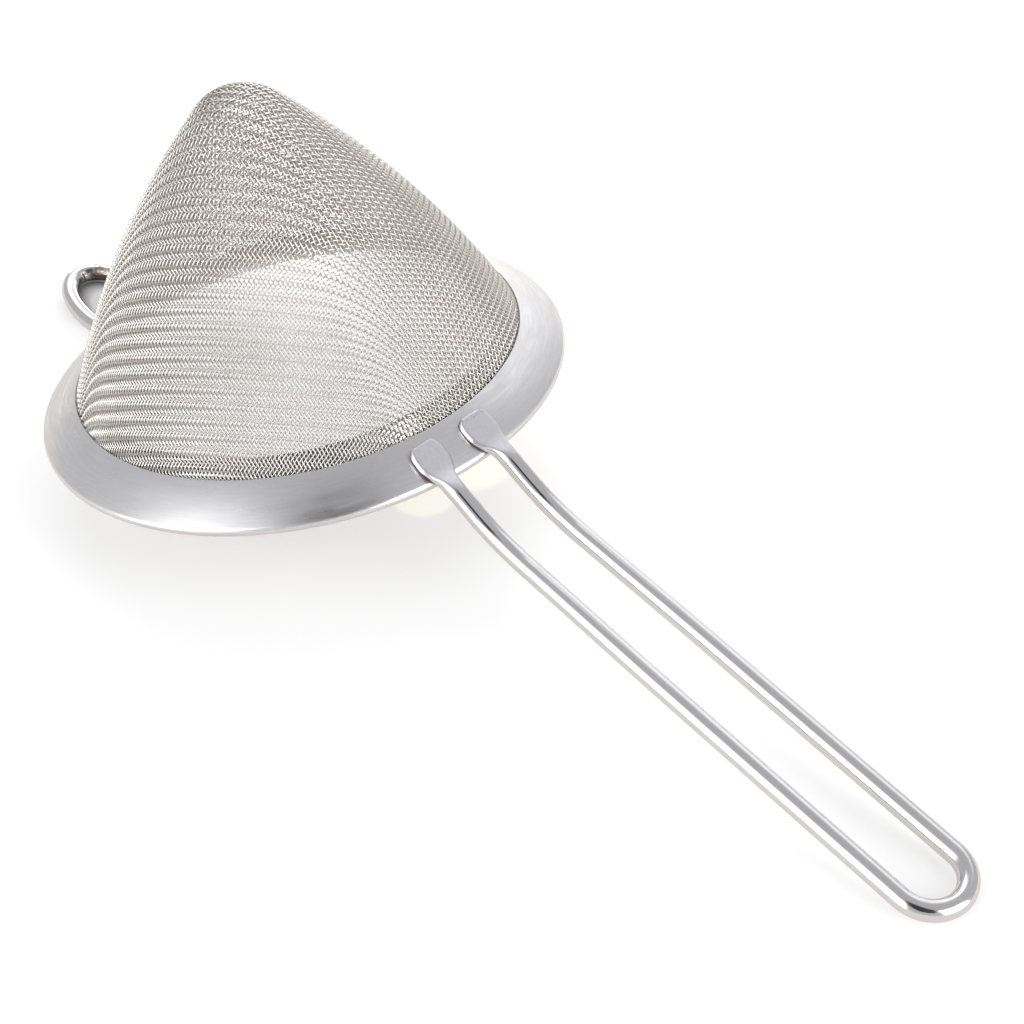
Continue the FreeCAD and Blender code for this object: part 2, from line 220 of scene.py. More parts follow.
def brushed_round(tree, along, across):
    """Fine lines that run around Z: grain per radian along them, per metre across them."""
    x, y, z = place(tree)
    radius = maths(tree, "SQRT", maths(tree, "ADD", maths(tree, "MULTIPLY", x, x), maths(tree, "MULTIPLY", y, y)))
    east = maths(tree, "MULTIPLY", maths(tree, "DIVIDE", x, radius), along)
    north = maths(tree, "MULTIPLY", maths(tree, "DIVIDE", y, radius), along)
    outward = maths(tree, "MULTIPLY", maths(tree, "SUBTRACT", radius, z), across)
    return noise(tree, east, north, outward, detail=4.0, roughness=0.6)


def facing_out(tree, lean):
    """1 where a surface faces away from Z and up by the lean, 0 where it faces inwards."""
    x, y, z = place(tree)
    radius = maths(tree, "SQRT", maths(tree, "ADD", maths(tree, "MULTIPLY", x, x), maths(tree, "MULTIPLY", y, y)))
    split = tree.nodes.new("ShaderNodeSeparateXYZ")
    tree.links.new(tree.nodes.new("ShaderNodeNewGeometry").outputs["Normal"], split.inputs[0])
    level = maths(
        tree,
        "ADD",
        maths(tree, "MULTIPLY", split.outputs[0], maths(tree, "DIVIDE", x, radius)),
        maths(tree, "MULTIPLY", split.outputs[1], maths(tree, "DIVIDE", y, radius)),
    )
    facing = maths(
        tree,
        "ADD",
        maths(tree, "MULTIPLY", level, math.cos(lean)),
        maths(tree, "MULTIPLY", split.outputs[2], math.sin(lean)),
    )
    return span(tree, facing, -0.3, 0.3, 0.0, 1.0)


def sheet_steel():
    """Satin sheet, brushed around the rim, with faint stains and a few scratches."""
    material, tree, shader = new_material("brushed_sheet")
    lines = brushed_round(tree, 9.0, 1500.0)
    smears = brushed_round(tree, 4.0, 450.0)
    stain = even_noise(tree, 70.0)
    shader.inputs["Metallic"].default_value = 1.0
    base = blend_colour(tree, span(tree, stain, 0.35, 0.7, 0.0, 1.0), (0.76, 0.76, 0.77, 1), (0.69, 0.685, 0.695, 1))
    streaked = blend_colour(tree, span(tree, lines, 0.35, 0.7, 0.0, 0.6), base, (0.60, 0.60, 0.61, 1))
    smeared = blend_colour(tree, span(tree, smears, 0.42, 0.68, 0.0, 0.5), streaked, (0.59, 0.58, 0.58, 1))
    put(tree, shader.inputs["Base Color"], smeared)
    worn = maths(tree, "ADD", span(tree, stain, 0.4, 0.7, 0.0, 0.05), span(tree, smears, 0.35, 0.65, -0.05, 0.06))
    rough = maths(tree, "ADD", span(tree, lines, 0.3, 0.7, 0.26, 0.34), worn)
    put(tree, shader.inputs["Roughness"], rough)
    bump(tree, shader, lines, 0.1, 0.00004)
    return material


def ring_steel():
    """Duller sheet, with painted shade: the face towards the cone's axis is painted a darker brown, and a band of the
    outer face, pinched against the cloth, is painted dark.
    """
    material, tree, shader = new_material("clamp_sheet")
    lines = brushed_round(tree, 9.0, 1500.0)
    stain = even_noise(tree, 160.0)
    shader.inputs["Metallic"].default_value = 1.0
    # painted shade: the face towards the cone's axis is a darker brown copy of the sheet
    inside = blend_colour(tree, span(tree, stain, 0.35, 0.7, 0.0, 1.0), (0.42, 0.38, 0.34, 1), (0.34, 0.31, 0.28, 1))
    bright = blend_colour(tree, span(tree, lines, 0.35, 0.7, 0.0, 1.0), (0.78, 0.75, 0.71, 1), (0.70, 0.675, 0.64, 1))
    x, y, z = place(tree)
    bearing = maths(tree, "ARCTAN2", y, x)
    # painted shade: between these bearings the outer face, pinched against the cloth, is painted dark
    dark = window(tree, bearing, math.radians(RING_SHADE_START), math.radians(RING_SHADE_END), math.radians(6.0))
    outside = blend_colour(tree, dark, bright, (0.26, 0.245, 0.23, 1))
    put(tree, shader.inputs["Base Color"], blend_colour(tree, facing_out(tree, CONE_LEAN), inside, outside))
    put(tree, shader.inputs["Roughness"], span(tree, stain, 0.35, 0.7, 0.28, 0.36))
    bump(tree, shader, lines, 0.2, 0.00004)
    return material


# bearings, in degrees, of the band of painted shade on the clamp ring's outer face
RING_SHADE_START = -47.0
RING_SHADE_END = -22.0


def cloth_steel():
    """Drawn stainless wire: bright outside; the side that faces the cone's axis is painted a darker warm brown, as
    shade inside the cone.
    """
    material, tree, shader = new_material("wire_cloth")
    patch = even_noise(tree, 90.0)
    grain = even_noise(tree, 4000.0, detail=2.0)
    shader.inputs["Metallic"].default_value = 1.0
    tone = span(tree, patch, 0.35, 0.7, 0.0, 1.0)
    outside = blend_colour(tree, tone, (0.71, 0.69, 0.665, 1), (0.64, 0.62, 0.59, 1))
    # painted shade: the wires' inward side is a darker brown copy
    inside = blend_colour(tree, tone, (0.47, 0.435, 0.40, 1), (0.40, 0.365, 0.335, 1))
    put(tree, shader.inputs["Base Color"], blend_colour(tree, facing_out(tree, CONE_LEAN), inside, outside))
    rough = maths(tree, "ADD", span(tree, patch, 0.35, 0.7, 0.22, 0.28), span(tree, grain, 0.4, 0.7, 0.0, 0.06))
    put(tree, shader.inputs["Roughness"], rough)
    bump(tree, shader, grain, 0.12, 0.00002)
    return material


def wire_steel():
    """Polished round wire; where the attribute "pressed" is 1 it is the dull, scuffed face left by the press. Where
    the attribute "stain" is high it is darkened to a brown: real marks on the far paddle's tip, and painted shade
    under the paddles and on the inside of the hook's loop.
    """
    material, tree, shader = new_material("polished_wire")
    x, y, z = place(tree)
    scratch = noise(
        tree,
        maths(tree, "MULTIPLY", x, 160.0),
        maths(tree, "MULTIPLY", y, 4200.0),
        maths(tree, "MULTIPLY", z, 4200.0),
        detail=3.0,
    )
    cloud = even_noise(tree, 240.0, detail=4.0)
    scuff = even_noise(tree, 1500.0, detail=5.0)
    attribute = tree.nodes.new("ShaderNodeAttribute")
    attribute.attribute_name = "pressed"
    pressed = attribute.outputs["Fac"]
    shader.inputs["Metallic"].default_value = 1.0
    shiny = blend_colour(tree, span(tree, cloud, 0.3, 0.7, 0.0, 1.0), (0.70, 0.695, 0.70, 1), (0.66, 0.655, 0.66, 1))
    dull_mix = span(tree, scuff, 0.35, 0.72, 0.0, 1.0)
    dull = blend_colour(tree, dull_mix, (0.68, 0.68, 0.71, 1), (0.60, 0.60, 0.635, 1))
    stain = tree.nodes.new("ShaderNodeAttribute")
    stain.attribute_name = "stain"
    # real marks and painted shade: where "stain" is high the wire is painted a dark brown
    marks_and_shade_level = maths(tree, "ADD", stain.outputs["Fac"], maths(tree, "MULTIPLY", scuff, 0.8))
    clean = blend_colour(tree, pressed, shiny, dull)
    marks_and_painted_shade = span(tree, marks_and_shade_level, 0.95, 1.2, 0.0, 1.0)
    put(tree, shader.inputs["Base Color"], blend_colour(tree, marks_and_painted_shade, clean, (0.19, 0.155, 0.14, 1)))
    smooth = span(tree, scratch, 0.35, 0.75, 0.10, 0.19)
    matt = span(tree, scuff, 0.3, 0.7, 0.36, 0.48)
    difference = maths(tree, "SUBTRACT", matt, smooth)
    dulled = maths(tree, "ADD", pressed, maths(tree, "MULTIPLY", marks_and_painted_shade, 0.5))
    put(tree, shader.inputs["Roughness"], maths(tree, "ADD", smooth, maths(tree, "MULTIPLY", difference, dulled)))
    scuffed = maths(tree, "MULTIPLY", scuff, maths(tree, "ADD", pressed, 0.04))
    bump(tree, shader, maths(tree, "ADD", scuffed, maths(tree, "MULTIPLY", scratch, 0.08)), 0.35, 0.00005)
    return material


def weld_steel():
    """Dull, slightly tinted weld metal."""
    material, tree, shader = new_material("weld")
    patch = even_noise(tree, 1400.0, detail=4.0)
    shader.inputs["Metallic"].default_value = 1.0
    tint = blend_colour(tree, span(tree, patch, 0.3, 0.7, 0.0, 1.0), (0.30, 0.25, 0.21, 1), (0.20, 0.19, 0.20, 1))
    put(tree, shader.inputs["Base Color"], tint)
    put(tree, shader.inputs["Roughness"], span(tree, patch, 0.3, 0.7, 0.4, 0.6))
    bump(tree, shader, patch, 0.4, 0.0001)
    return material


CONE_LEAN = math.radians(33.0)
SHEET = sheet_steel()
RING = ring_steel()
CLOTH = cloth_steel()
WIRE = wire_steel()
WELD = weld_steel()


# ---------------------------------------------------------------- rim band and clamp ring

def flange_fall():
    """Fall of the band's face, in radians: from its upper edge it touches the rolled edge."""
    inwards = RIM_RADIUS - ROLL_RADIUS - BAND_INNER_RADIUS
    upwards = BAND_TOP - ROLL_RADIUS
    return math.acos(ROLL_RADIUS / math.hypot(inwards, upwards)) - math.atan2(inwards, upwards)


FALL = flange_fall()


def flange_height(radius, depth):
    """Height at a radius, sunk by a depth below the band's face."""
    return BAND_TOP - (radius - BAND_INNER_RADIUS) * math.tan(FALL) - depth / math.cos(FALL)


def band_profile():
    """Outline of the band: flange, rolled edge and hem, with softened cut edges."""
    centre = (RIM_RADIUS - ROLL_RADIUS, ROLL_RADIUS)
    soft = 0.12
    slope = np.array([math.cos(FALL), -math.sin(FALL)])
    up = np.array([math.sin(FALL), math.cos(FALL)])
    edge_centre = np.array([BAND_INNER_RADIUS, BAND_TOP]) + slope * soft - up * soft
    lower_centre = edge_centre - up * (BAND_THICKNESS - 2 * soft)
    normal_turn = math.pi / 2 - FALL
    back_turn = normal_turn + math.pi / 2
    outer = arc(centre, ROLL_RADIUS, normal_turn - BAND_BOW_TURN, -math.pi / 2, 33)
    inner = arc(centre, ROLL_RADIUS - BAND_THICKNESS, -math.pi / 2, normal_turn, 17)
    corner = (HEM_INNER_RADIUS + BAND_THICKNESS, BAND_THICKNESS)
    half = BAND_THICKNESS / 2
    hem = np.concatenate(
        [
            arc(corner, BAND_THICKNESS, -math.pi / 2, -math.pi, 8),
            arc((HEM_INNER_RADIUS + half, HEM_EDGE_TOP - half), half, math.pi, 0.0, 9),
            [corner],
        ]
    )
    top_corner = arc(edge_centre, soft, back_turn, normal_turn, 6)
    low_corner = arc(lower_centre, soft, normal_turn + math.pi, back_turn, 6)
    share = np.linspace(0.0, 1.0, 18)[1:-1, None]
    bow = BAND_BOW * 4 * share * (1 - share) * up
    face = top_corner[-1] * (1 - share) + outer[0] * share + bow
    under = inner[-1] * (1 - share) + low_corner[0] * share + bow
    return np.concatenate([top_corner, face, outer, hem, inner, under, low_corner])


def wall_centre():
    """Centre of the wall's long curve, which clears the band's inner edge and meets the tip's arc."""
    tip = np.array([0.0, CONE_HEIGHT - TIP_RADIUS])
    start = np.array([BAND_INNER_RADIUS - FIT_GAP, flange_height(BAND_INNER_RADIUS, BAND_THICKNESS)])
    to_tip = WALL_RADIUS - TIP_RADIUS
    gap = start - tip
    reach = math.hypot(*gap)
    along = (to_tip**2 - WALL_RADIUS**2 + reach**2) / (2 * reach)
    aside = math.sqrt(to_tip**2 - along**2)
    unit = gap / reach
    return tip + along * unit + aside * np.array([unit[1], -unit[0]])


BULGE = wall_centre()


def wall_radius_at(height, inset):
    return BULGE[0] + math.sqrt((WALL_RADIUS - inset) ** 2 - (height - BULGE[1]) ** 2)


def knee(inset, depth):
    """Where the wall, inset inside its outer face, meets a line sunk under the band."""
    low, high = 0.0, BAND_TOP
    for _ in range(50):
        middle = (low + high) / 2
        radius = wall_radius_at(middle, inset)
        if flange_height(radius, depth) > middle:
            low = middle
        else:
            high = middle
    return np.array([wall_radius_at(low, inset), low])


def ring_profile():
    """Outline of the clamp ring: collar inside the wall and skirt under the cloth."""
    inset = CLOTH_THICKNESS + FIT_GAP
    sunk = BAND_THICKNESS + CLOTH_THICKNESS + 2 * FIT_GAP
    heights = np.linspace(RING_TOP, knee(inset, sunk)[1], 10)
    outside = [(wall_radius_at(z, inset), z) for z in heights]
    skirt_end = (RING_EDGE_RADIUS, flange_height(RING_EDGE_RADIUS, sunk))
    drop = RING_THICKNESS
    end_low = (RING_EDGE_RADIUS - drop * math.sin(FALL), flange_height(RING_EDGE_RADIUS, sunk) - drop * math.cos(FALL))
    low_knee = knee(inset + drop, sunk + drop)
    inner_heights = np.linspace(low_knee[1], RING_TOP, 10)
    inside = [(wall_radius_at(z, inset + drop), z) for z in inner_heights]
    return np.array(outside + [skirt_end, end_low] + inside)


band = lathe("rim_band_sheet", band_profile(), 480, SHEET)
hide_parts("rim_band")
ring = lathe("clamp_ring_sheet", ring_profile(), 360, RING)
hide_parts("clamp_ring")


# ---------------------------------------------------------------- woven cloth

def cloth_profile():
    """Middle surface of the cloth from tip to edge: distance along it, radius and height."""
    inset = CLOTH_THICKNESS / 2
    sunk = BAND_THICKNESS + FIT_GAP + inset
    tip = np.array([0.0, CONE_HEIGHT - TIP_RADIUS])
    towards = tip - BULGE
    meet = math.atan2(towards[1], towards[0])
    corner = knee(inset, sunk)
    end = math.atan2(corner[1] - BULGE[1], corner[0] - BULGE[0])
    skirt_radius = np.linspace(corner[0], corner[0] + 60.0, 120)[1:]
    skirt_height = [flange_height(radius, sunk) for radius in skirt_radius]
    points = np.concatenate(
        [
            arc(tip, TIP_RADIUS - inset, math.pi / 2, meet, 60),
            arc(BULGE, WALL_RADIUS - inset, meet, end, 200)[1:],
            np.stack([skirt_radius, skirt_height], axis=1),
        ]
    )
    steps = np.hypot(*np.diff(points, axis=0).T)
    return np.concatenate([[0.0], np.cumsum(steps)]), points[:, 0], points[:, 1]


RUN, RADIUS, HEIGHT = cloth_profile()
RADIUS_SLOPE = np.gradient(RADIUS, RUN)
HEIGHT_SLOPE = np.gradient(HEIGHT, RUN)
CLOTH_END = float(np.interp(CLOTH_EDGE_RADIUS, RADIUS, RUN))


def on_cloth(flat):
    """Lifts points of the unrolled chart (distance from the tip, azimuth) on to the cloth's middle surface."""
    run = np.hypot(flat[..., 0], flat[..., 1])
    safe = np.maximum(run, 1e-9)
    east = np.where(run > 1e-9, flat[..., 0] / safe, 1.0)
    north = np.where(run > 1e-9, flat[..., 1] / safe, 0.0)
    radius = np.interp(run, RUN, RADIUS)
    lifted = np.stack([radius * east, radius * north, np.interp(run, RUN, HEIGHT)], axis=-1)
    return run, radius, east, north, lifted


def slide(flat, push, run, radius, east, north):
    """Moves chart points by the part of a push in space that lies in the cloth."""
    slope_r = np.interp(run, RUN, RADIUS_SLOPE)
    slope_z = np.interp(run, RUN, HEIGHT_SLOPE)
    down = (push[..., 0] * east + push[..., 1] * north) * slope_r + push[..., 2] * slope_z
    around = (push[..., 1] * east - push[..., 0] * north) * run / np.maximum(radius, 1e-6)
    return flat + np.stack([down * east - around * north, down * north + around * east], axis=-1)


def drape(spacing, reach, rounding, passes, stiffness):
    """A flat weave draped over the cone: chart points of a square grid of wire crossings.

    It starts from four quarters, each a lozenge net between two straight wires that run down the wall, and
    then lets every thread keep its length and resist sharp turns.
    """
    count = int(round(reach / spacing))
    steps = np.arange(-count, count + 1) * spacing
    first, second = np.meshgrid(steps, steps, indexing="ij")
    a, b = np.abs(first), np.abs(second)
    soft_a = a**2 / np.sqrt(a**2 + rounding**2)
    soft_b = b**2 / np.sqrt(b**2 + rounding**2)
    start = np.where(first < 0, STRAIGHT_WIRES[2], STRAIGHT_WIRES[0])
    end = np.where(second < 0, STRAIGHT_WIRES[3], STRAIGHT_WIRES[1])
    quarter = np.mod(end - start + math.pi, 2 * math.pi) - math.pi
    run = np.hypot(a, b)
    for _ in range(30):
        share = np.where(run > 1e-6, np.interp(run, RUN, RADIUS) / np.maximum(run, 1e-6), 1.0)
        corner = np.abs(quarter) * share
        run = np.sqrt(a**2 + b**2 + 2 * soft_a * soft_b * np.cos(corner))
    turn = start + np.arctan2(b * np.sin(corner), a + b * np.cos(corner)) * quarter / corner
    east = np.cos(turn)
    north = np.sin(turn)
    flat = np.stack([run * east, run * north], axis=-1)
    live = run < CLOTH_END + 4 * spacing
    pair = [(live[1:] & live[:-1])[..., None], (live[:, 1:] & live[:, :-1])[..., None]]
    triple = [
        (live[2:] & live[1:-1] & live[:-2])[..., None],
        (live[:, 2:] & live[:, 1:-1] & live[:, :-2])[..., None],
    ]
    for _ in range(passes):
        run, radius, east, north, lifted = on_cloth(flat)
        push = np.zeros_like(lifted)
        for axis in (0, 1):
            grid = np.moveaxis(lifted, axis, 0)
            moved = np.moveaxis(push, axis, 0)
            near = np.moveaxis(pair[axis], axis, 0)
            bend = np.moveaxis(triple[axis], axis, 0)
            gap = grid[1:] - grid[:-1]
            length = np.linalg.norm(gap, axis=-1, keepdims=True)
            pull = near * 0.175 * (length - spacing) / length * gap
            moved[:-1] += pull
            moved[1:] -= pull
            kink = bend * stiffness * (grid[2:] + grid[:-2] - 2 * grid[1:-1])
            moved[1:-1] += 2 * kink
            moved[:-2] -= kink
            moved[2:] -= kink
        flat = slide(flat, push, run, radius, east, north)
    return steps, flat


def resample(steps, wanted):
    """Matrix that takes values at evenly spaced steps to wanted places by smooth cubic interpolation."""
    spacing = steps[1] - steps[0]
    place_in = (wanted - steps[0]) / spacing
    cell = np.clip(np.floor(place_in).astype(int), 1, len(steps) - 3)
    t = place_in - cell
    weights = np.stack(
        [
            (-t + 2 * t**2 - t**3) / 2,
            (2 - 5 * t**2 + 3 * t**3) / 2,
            (t + 4 * t**2 - 3 * t**3) / 2,
            (-(t**2) + t**3) / 2,
        ]
    )
    matrix = np.zeros((len(wanted), len(steps)))
    rows = np.arange(len(wanted))
    for k in range(4):
        matrix[rows, cell + k - 1] += weights[k]
    return matrix


def twill(crossing):
    """Side of the cloth on which a thread lies, 1 outside and -1 inside: over two, under two."""
    phase = np.mod(crossing, 4.0)
    return np.interp(phase, [0.0, 1.0, 1.5, 2.0, 3.0, 3.5, 4.0], [1.0, 1.0, 0.0, -1.0, -1.0, 0.0, 1.0])


def thread_families():
    """Centre lines of all threads in both directions: lists of (points, outward normals)."""
    spacing = 2 * WIRE_PITCH
    steps, flat = drape(spacing, 75.6, 6.0, 700, 0.01)
    half = np.arange(-int(72 / WIRE_PITCH) * SAMPLES_PER_PITCH, int(72 / WIRE_PITCH) * SAMPLES_PER_PITCH + 1)
    along = half / SAMPLES_PER_PITCH
    rows = np.arange(-int(72 / WIRE_PITCH), int(72 / WIRE_PITCH) + 1)
    fine = resample(steps, along * WIRE_PITCH)
    coarse = resample(steps, rows * WIRE_PITCH)
    families = []
    for family in (0, 1):
        chart = flat if family == 0 else np.swapaxes(flat, 0, 1)
        threads = []
        dense = np.einsum("ai,ijc,bj->bac", fine, chart, coarse, optimize=True)
        for row, line in zip(rows, dense):
            run, radius, east, north, lifted = on_cloth(line)
            keep = np.nonzero(run <= CLOTH_END)[0]
            if len(keep) < 4:
                continue
            keep = np.arange(keep[0], keep[-1] + 1)
            slope_r = np.interp(run, RUN, RADIUS_SLOPE)
            slope_z = np.interp(run, RUN, HEIGHT_SLOPE)
            outward = np.stack([-slope_z * east, -slope_z * north, slope_r], axis=-1)
            outward /= np.linalg.norm(outward, axis=-1, keepdims=True)
            side = twill(along - row) if family == 0 else -twill(row - along)
            points = lifted + outward * (side * CLOTH_WIRE_RADIUS)[:, None]
            threads.append((points[keep], outward[keep]))
        families.append(threads)
    return families


def thread_piece(name, threads):
    """One mesh of round threads with closed ends."""
    sides = THREAD_SIDES
    turn = np.arange(sides) * 2 * math.pi / sides
    all_points, all_quads, start = [], [], 0
    for points, outward in threads:
        forward = np.gradient(points, axis=0)
        forward /= np.linalg.norm(forward, axis=1, keepdims=True)
        across = np.cross(forward, outward)
        across /= np.linalg.norm(across, axis=1, keepdims=True)
        lift = np.cross(across, forward)
        ring_points = points[:, None, :] + CLOTH_WIRE_RADIUS * (
            lift[:, None, :] * np.cos(turn)[None, :, None] + across[:, None, :] * np.sin(turn)[None, :, None]
        )
        quads = ring_quads(len(points), sides, False)
        first, last = 0, (len(points) - 1) * sides
        caps = []
        for k in range(1, sides - 2, 2):
            caps.append([first, first + k + 2, first + k + 1, first + k])
            caps.append([last, last + k, last + k + 1, last + k + 2])
        all_points.append(ring_points.reshape(-1, 3))
        all_quads.append(np.concatenate([quads, np.array(caps)]) + start)
        start += len(points) * sides
    return make_object(name, np.concatenate(all_points), np.concatenate(all_quads), CLOTH)


THREAD_SIDES = 6
SAMPLES_PER_PITCH = 2
LARGEST_PIECE = 190000


def weave():
    """The cloth as a few pieces, each under the largest size, that together stand for the cone."""
    for family, threads in zip(("warp", "weft"), thread_families()):
        size = np.cumsum([len(points) * THREAD_SIDES * 2 for points, _ in threads])
        pieces = int(math.ceil(size[-1] / LARGEST_PIECE))
        group = np.minimum((size / size[-1] * pieces).astype(int), pieces - 1)
        for part in range(pieces):
            chosen = [thread for thread, g in zip(threads, group) if g == part]
            piece = thread_piece(f"cloth_{family}_{part + 1}", chosen)
            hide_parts("sieve_cone")
            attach(piece, "root")


weave()


# ---------------------------------------------------------------- handle and hook

class Bow:
    """A loop of wire on the band: pressed ends, two legs and an oval end. side is 1 for +X and -1 for -X."""

    def __init__(self, side, wire, half, slope, reach, tip_radius, neck):
        self.side = side
        self.wire = wire
        self.half = half
        self.slope = math.radians(slope)
        self.reach = reach
        self.neck = neck
        self.pinch = 0.0
        self.toe = 0.0
        self.sway = 0.0
        self.drift = 0.0
        lift = PADDLE_GAP + PADDLE_THICKNESS / 2
        self.tip = np.array([math.sqrt(tip_radius**2 - half**2), flange_height(tip_radius, -lift)])
        self.fall = math.atan(math.tan(FALL) * self.tip[0] / tip_radius)

    def stain(self, points, radial, run, turn):
        """Marks on the far paddle's tip; on the hook, painted shade on the inner, lower side of the far half of the
        loop.
        """
        far = points[:, 1] > 0
        if self.side > 0:
            tip_mark = 0.5 * (1 - ease(run, 1.2, 2.2)) * far
            return tip_mark[:, None] * (np.sin(turn) > 0)[None, :]
        # painted shade: darkest where the wire faces into the loop and down towards the floor
        inward = np.array([LOOP_MIDDLE, 0.0, 0.0]) - points
        inward[:, 2] = -3.0
        inward /= np.linalg.norm(inward, axis=1, keepdims=True)
        facing = np.einsum("ijk,ik->ij", radial, inward) / self.wire
        place_share = ease(points[:, 1], -3.0, 2.0) * ease(points[:, 0], 50.0, 56.0)
        depth = 0.55 * ease(facing, -0.6, -0.2) + 0.27 * ease(facing, -0.2, 0.6)
        return depth * place_share[:, None]

    def at(self, along):
        return self.tip + along * np.array([math.cos(self.fall), -math.sin(self.fall)])


LOOP_MIDDLE = 60.0
PADDLE_GAP = 0.25
PADDLE_THICKNESS = 1.2
PADDLE_HALF_WIDTH = 3.0


def fillet(points, radii, step):
    """Points along straight lines in a plane with rounded corners, no further apart than step."""
    path = [np.asarray(points[0], float)]

    def straight_to(target):
        gap = target - path[-1]
        count = max(1, int(math.ceil(np.linalg.norm(gap) / step)))
        start_point = path[-1]
        for k in range(1, count + 1):
            path.append(start_point + gap * k / count)

    for corner, after, radius in zip(points[1:-1], points[2:], radii):
        corner = np.asarray(corner, float)
        back = path[-1] - corner
        back /= np.linalg.norm(back)
        ahead = np.asarray(after, float) - corner
        ahead /= np.linalg.norm(ahead)
        half_turn = (math.pi - math.acos(float(np.clip(back @ ahead, -1, 1)))) / 2
        reach = radius * math.tan(half_turn)
        straight_to(corner + back * reach)
        bisector = (back + ahead) / np.linalg.norm(back + ahead)
        centre = corner + bisector * radius / math.cos(half_turn)
        first = path[-1] - centre
        last = corner + ahead * reach - centre
        count = max(2, int(math.ceil(2 * half_turn * radius / step)))
        for k in range(1, count + 1):
            t = k / count
            mix = (math.sin((1 - t) * 2 * half_turn) * first + math.sin(t * 2 * half_turn) * last) / math.sin(2 * half_turn)
            path.append(centre + mix)
    straight_to(np.asarray(points[-1], float))
    return np.array(path)


def half_path(bow, corners, radii, oval_start, step):
    """From a paddle's tip to the middle of the oval: points, upward normals and distance from the tip."""
    turn = corners[-1]
    oval_height = turn[1] - (oval_start - turn[0]) * math.tan(bow.slope)
    leg = fillet([bow.tip] + corners + [np.array([oval_start, oval_height])], radii, step)
    heading = np.gradient(leg, axis=0)
    heading /= np.linalg.norm(heading, axis=1, keepdims=True)
    points = np.stack([leg[:, 0], np.full(len(leg), bow.half), leg[:, 1]], axis=1)
    normals = np.stack([-heading[:, 1], np.zeros(len(leg)), heading[:, 0]], axis=1)
    length = (bow.reach - oval_start) / math.cos(bow.slope)
    count = max(12, int(math.ceil(math.hypot(length, bow.half) * 1.2 / step)))
    turn_angle = np.linspace(0.0, math.pi / 2, count + 1)[1:]
    direction = np.array([math.cos(bow.slope), 0.0, -math.sin(bow.slope)])
    start = np.array([oval_start, 0.0, oval_height])
    oval = (
        start
        + np.sin(turn_angle)[:, None] * length * direction
        + np.cos(turn_angle)[:, None] * np.array([0.0, bow.half, 0.0])
    )
    level = np.tile([math.sin(bow.slope), 0.0, math.cos(bow.slope)], (len(oval), 1))
    points = np.concatenate([points, oval])
    normals = np.concatenate([normals, level])
    run = np.concatenate([[0.0], np.cumsum(np.linalg.norm(np.diff(points, axis=0), axis=1))])
    return points, normals, run


def ease(value, low, high):
    t = np.clip((value - low) / (high - low), 0.0, 1.0)
    return t * t * (3 - 2 * t)


def pressed_section(run, bow, turn):
    """Cross-section at a distance from the paddle's tip: across, up, how much of it is a pressed face, and how much
    painted shade lies on it.
    """
    scale = bow.neck / 9.0
    t = run / scale
    tip_width = 0.5 * PADDLE_HALF_WIDTH
    rounding = np.sqrt(np.clip(1 - (1 - np.clip(t / 2.6, 0, 1)) ** 2, 0, 1))
    wide = np.where(t < 2.6, tip_width + (PADDLE_HALF_WIDTH - tip_width) * rounding, 0.0)
    narrow = bow.wire + (PADDLE_HALF_WIDTH - bow.wire) * (1 - ease(t, 3.8, 8.2))
    half_width = np.where(t < 2.6, wide, narrow)
    oval = 1.0 + (bow.wire - 1.0) * ease(t, 5.0, 8.0)
    cut = PADDLE_THICKNESS / 2 + (bow.wire * 1.04 - PADDLE_THICKNESS / 2) * ease(t, 4.6, 10.8)
    end_round = np.sqrt(np.clip(1 - (1 - np.clip(t / 0.45, 0.0, 1.0)) ** 2, 0.0, 1.0))
    half_width = half_width - 0.4 * (1 - end_round)
    cut = cut * (0.12 + 0.88 * end_round)
    across = half_width[:, None] * np.cos(turn)[None, :]
    raw = oval[:, None] * np.sin(turn)[None, :]
    limit = cut[:, None]
    sharp = 14.0
    up = raw / (1 + (np.abs(raw) / limit) ** sharp) ** (1 / sharp)
    pressed = ease(raw / limit, 0.55, 0.8) * (1 - ease(t, 8.4, 11.4))[:, None]
    # painted shade on the paddle's underside, which faces the band across a narrow gap
    stain = ease(-raw / limit, 0.2, 0.6) * (1 - ease(t, 6.6, 8.4))[:, None]
    return across, up, pressed, stain


